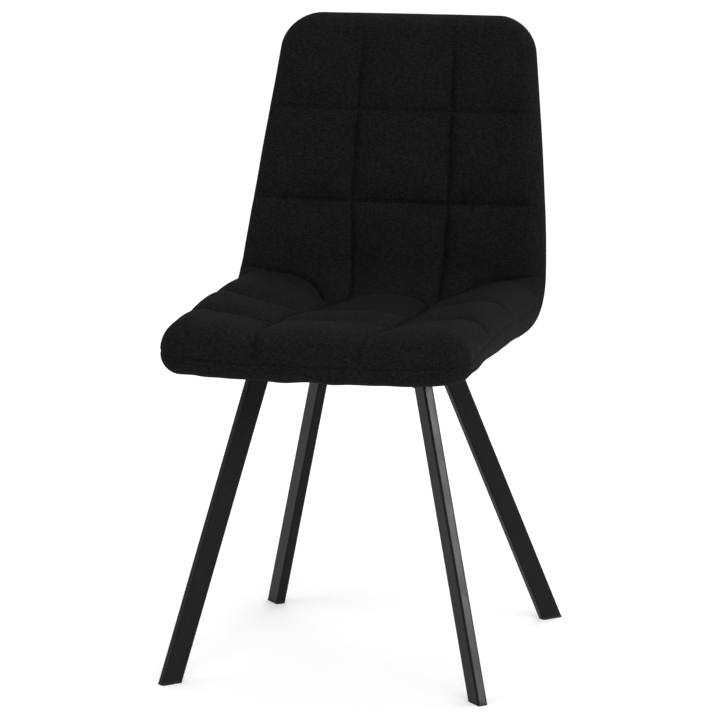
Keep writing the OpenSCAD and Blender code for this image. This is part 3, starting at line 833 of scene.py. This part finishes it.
def moulded_plastic(name, colour):
    n = Nodes(name)
    place = n.add("ShaderNodeTexCoord").outputs["Object"]
    grain = n.noise(place, 900.0, 3.0, 0.6)
    scuff = n.noise(n.stretched(place, (60, 60, 400)), 1.0, 4.0, 0.7)
    scuffed = tuple(min(1, 2.2 * c + 0.01) for c in colour)
    n.link(n.mix(n.ramp(scuff, 0.45, 0.8), colour, scuffed), "Base Color")
    n.link(n.ramp(grain, 0.3, 0.7, 0.5, 0.7), "Roughness")
    n.link(n.bump(grain, 0.0002, 0.4), "Normal")
    n.set(Specular_IOR_Level=0.12)
    return n.material


def nonwoven_cloth(name):
    """Thin black spun-bonded cloth: matted fibres with a faint embossed grid of dots."""
    n = Nodes(name)
    flat = n.add("ShaderNodeUVMap", uv_map="flat").outputs[0]
    fibres = n.noise(n.stretched(flat, (900, 260, 1)), 1.0, 4.0, 0.75)
    crossed = n.noise(n.stretched(flat, (260, 900, 1)), 1.0, 4.0, 0.75)
    dots = n.add("ShaderNodeTexVoronoi", {"Vector": flat, "Scale": 420.0, "Randomness": 0.15})
    emboss = n.ramp(dots.outputs["Distance"], 0.15, 0.4)
    mat = n.math("MAXIMUM", fibres, crossed)
    tone = n.math("MULTIPLY", n.ramp(mat, 0.45, 0.75), n.ramp(emboss, 0.0, 1.0, 0.6, 1.0))
    n.link(n.mix(tone, (0.0030, 0.0030, 0.0030), (0.0130, 0.0130, 0.0132)), "Base Color")
    n.link(n.ramp(mat, 0.4, 0.8, 0.85, 0.65), "Roughness")
    n.link(n.bump(n.math("ADD", mat, emboss), 0.0002, 0.6), "Normal")
    n.set(Specular_IOR_Level=0.12)
    return n.material


def spun_thread(name):
    """Dull black sewing thread with its twist."""
    n = Nodes(name)
    place = n.add("ShaderNodeTexCoord").outputs["Object"]
    twist = n.noise(place, 2600.0, 2.0, 0.6)
    dark, light = (0.0012, 0.0012, 0.0012), (0.0042, 0.0040, 0.0040)
    n.link(n.mix(n.ramp(twist, 0.35, 0.65), dark, light), "Base Color")
    n.link(n.ramp(twist, 0.3, 0.7, 0.8, 0.95), "Roughness")
    n.link(n.bump(twist, 0.0002, 0.5), "Normal")
    n.set(Specular_IOR_Level=0.05)
    return n.material


def zinc_plate(name):
    n = Nodes(name)
    place = n.add("ShaderNodeTexCoord").outputs["Object"]
    cloud = n.noise(place, 160.0, 4.0, 0.6)
    n.link(n.mix(n.ramp(cloud, 0.35, 0.7), (0.36, 0.37, 0.38), (0.55, 0.56, 0.57)), "Base Color")
    n.link(n.ramp(cloud, 0.3, 0.7, 0.28, 0.45), "Roughness")
    n.link(n.bump(cloud, 0.0001, 0.3), "Normal")
    n.set(Metallic=1.0)
    return n.material


def plywood(name):
    n = Nodes(name)
    place = n.add("ShaderNodeTexCoord").outputs["Object"]
    grain = n.noise(n.stretched(place, (260, 18, 18)), 1.0, 5.0, 0.65)
    n.link(n.mix(n.ramp(grain, 0.35, 0.7), (0.36, 0.22, 0.11), (0.58, 0.41, 0.24)), "Base Color")
    n.link(n.ramp(grain, 0.3, 0.7, 0.55, 0.7), "Roughness")
    n.link(n.bump(grain, 0.0003, 0.4), "Normal")
    return n.material


def assign(o, material):
    o.data.materials.clear()
    o.data.materials.append(material)


fabric = woven_fabric("black_linen", (0.0034, 0.0031, 0.0031), (0.0129, 0.0120, 0.0119))
assign(front_cover, fabric)
assign(rear_cover, fabric)
assign(thread, spun_thread("black_thread"))

coat = powder_coat("black_powder_coat")
plug_plastic = moulded_plastic("plug_plastic", (0.008, 0.008, 0.008))
dust_cloth = nonwoven_cloth("dust_cloth")
zinc = zinc_plate("zinc_plate")
beech = plywood("beech_plywood")
FINISH = {
    "leg_": coat, "cross_bar": coat, "mounting_strip": coat, "foot_plug": plug_plastic,
    "dust_cover_staples": zinc, "tee_nuts": zinc, "seat_bolts": zinc,
    "flat_washers": zinc, "spring_washers": zinc, "plywood_shell": beech,
}
assign(weld_beads, coat)
assign(dust_cover, dust_cloth)
for node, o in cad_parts.items():
    for start, material in FINISH.items():
        if node.startswith(start):
            for k in range(len(o.material_slots)):
                o.material_slots[k].material = material
            break

# ---------- Floor, light and camera ----------


def make_floor():
    o = new_object("floor", [(-9, -9, 0), (9, -9, 0), (9, 9, 0), (-9, 9, 0)], [(0, 1, 2, 3)], None)
    n = Nodes("pale_floor")
    place = n.add("ShaderNodeTexCoord").outputs["Object"]
    n.link(n.mix(n.noise(place, 3.0), (0.86, 0.86, 0.86), (0.88, 0.88, 0.88)), "Base Color")
    n.set(Roughness=0.9, Specular_IOR_Level=0.1, Emission_Strength=0.2)
    n.shader.inputs["Emission Color"].default_value = (1, 1, 1, 1)
    assign(o, n.material)


def area_light(name, place, target, size, power):
    light = bpy.data.lights.new(name, "AREA")
    light.shape = "RECTANGLE"
    light.size, light.size_y = size
    light.energy = power
    o = bpy.data.objects.new(name, light)
    o.location = place
    o.rotation_euler = (Vector(target) - Vector(place)).to_track_quat("-Z", "Y").to_euler()
    bpy.context.scene.collection.objects.link(o)
    return o


def sun_light(name, azimuth, elevation, strength, spread):
    """Light from far away, so that the whole floor is lit alike. Azimuth 0 comes from the front."""
    light = bpy.data.lights.new(name, "SUN")
    light.energy, light.angle = strength, math.radians(spread)
    o = bpy.data.objects.new(name, light)
    a, e = math.radians(azimuth), math.radians(elevation)
    way = Vector((math.sin(a) * math.cos(e), -math.cos(a) * math.cos(e), math.sin(e)))
    o.rotation_euler = way.to_track_quat("Z", "Y").to_euler()
    bpy.context.scene.collection.objects.link(o)


WORLD_LIGHT = 0.72


def make_lights():
    sun_light("top_light", 35, 46, 1.22, 48)
    area_light("left_softbox", (-2.3, -1.6, 2.3), (0, 0, 0.5), (1.6, 1.6), 10)
    area_light("overhead_softbox", (0.0, 1.3, 2.6), (0, 0, 0.5), (1.6, 1.6), 18)
    strip = area_light("right_strip", (2.85, -1.09, 1.50), (0.24, -0.24, 0.25), (0.5, 0.8), 190)
    strip.visible_diffuse = False
    world = bpy.data.worlds.new("studio")
    bpy.context.scene.world = world
    world.use_nodes = True
    world.node_tree.nodes["Background"].inputs[0].default_value = (1, 1, 1, 1)
    # It lights the chair at less than 1, and the camera sees it as white, as the floor is.
    path = world.node_tree.nodes.new("ShaderNodeLightPath").outputs["Is Camera Ray"]
    seen = world.node_tree.nodes.new("ShaderNodeMapRange")
    seen.inputs[3].default_value, seen.inputs[4].default_value = WORLD_LIGHT, 1.0
    world.node_tree.links.new(path, seen.inputs["Value"])
    world.node_tree.links.new(seen.outputs[0], world.node_tree.nodes["Background"].inputs[1])


CAMERA_AZIMUTH, CAMERA_ELEVATION, CAMERA_ROLL = (math.radians(a) for a in (16.006, 11.806, -0.823))
CAMERA_DISTANCE, CAMERA_LENS = 6.389, 222.35
CAMERA_TARGET = Vector((0, 0.1064, 0.3749))
CAMERA_SHIFT = (-0.0362, 0.0249)


def make_camera():
    data = bpy.data.cameras.new("camera")
    data.sensor_width, data.lens = 36, CAMERA_LENS
    data.shift_x, data.shift_y = CAMERA_SHIFT
    data.clip_end = 100
    o = bpy.data.objects.new("camera", data)
    az, el = CAMERA_AZIMUTH, CAMERA_ELEVATION
    back = Vector((math.sin(az) * math.cos(el), -math.cos(az) * math.cos(el), math.sin(el)))
    turn = (-back).to_track_quat("-Z", "Y").to_matrix().to_4x4()
    place = Matrix.Translation(CAMERA_TARGET + back * CAMERA_DISTANCE)
    o.matrix_world = place @ turn @ Matrix.Rotation(CAMERA_ROLL, 4, "Z")
    bpy.context.scene.collection.objects.link(o)
    bpy.context.scene.camera = o


make_floor()
make_lights()
make_camera()
bpy.context.scene.view_settings.view_transform = "Standard"
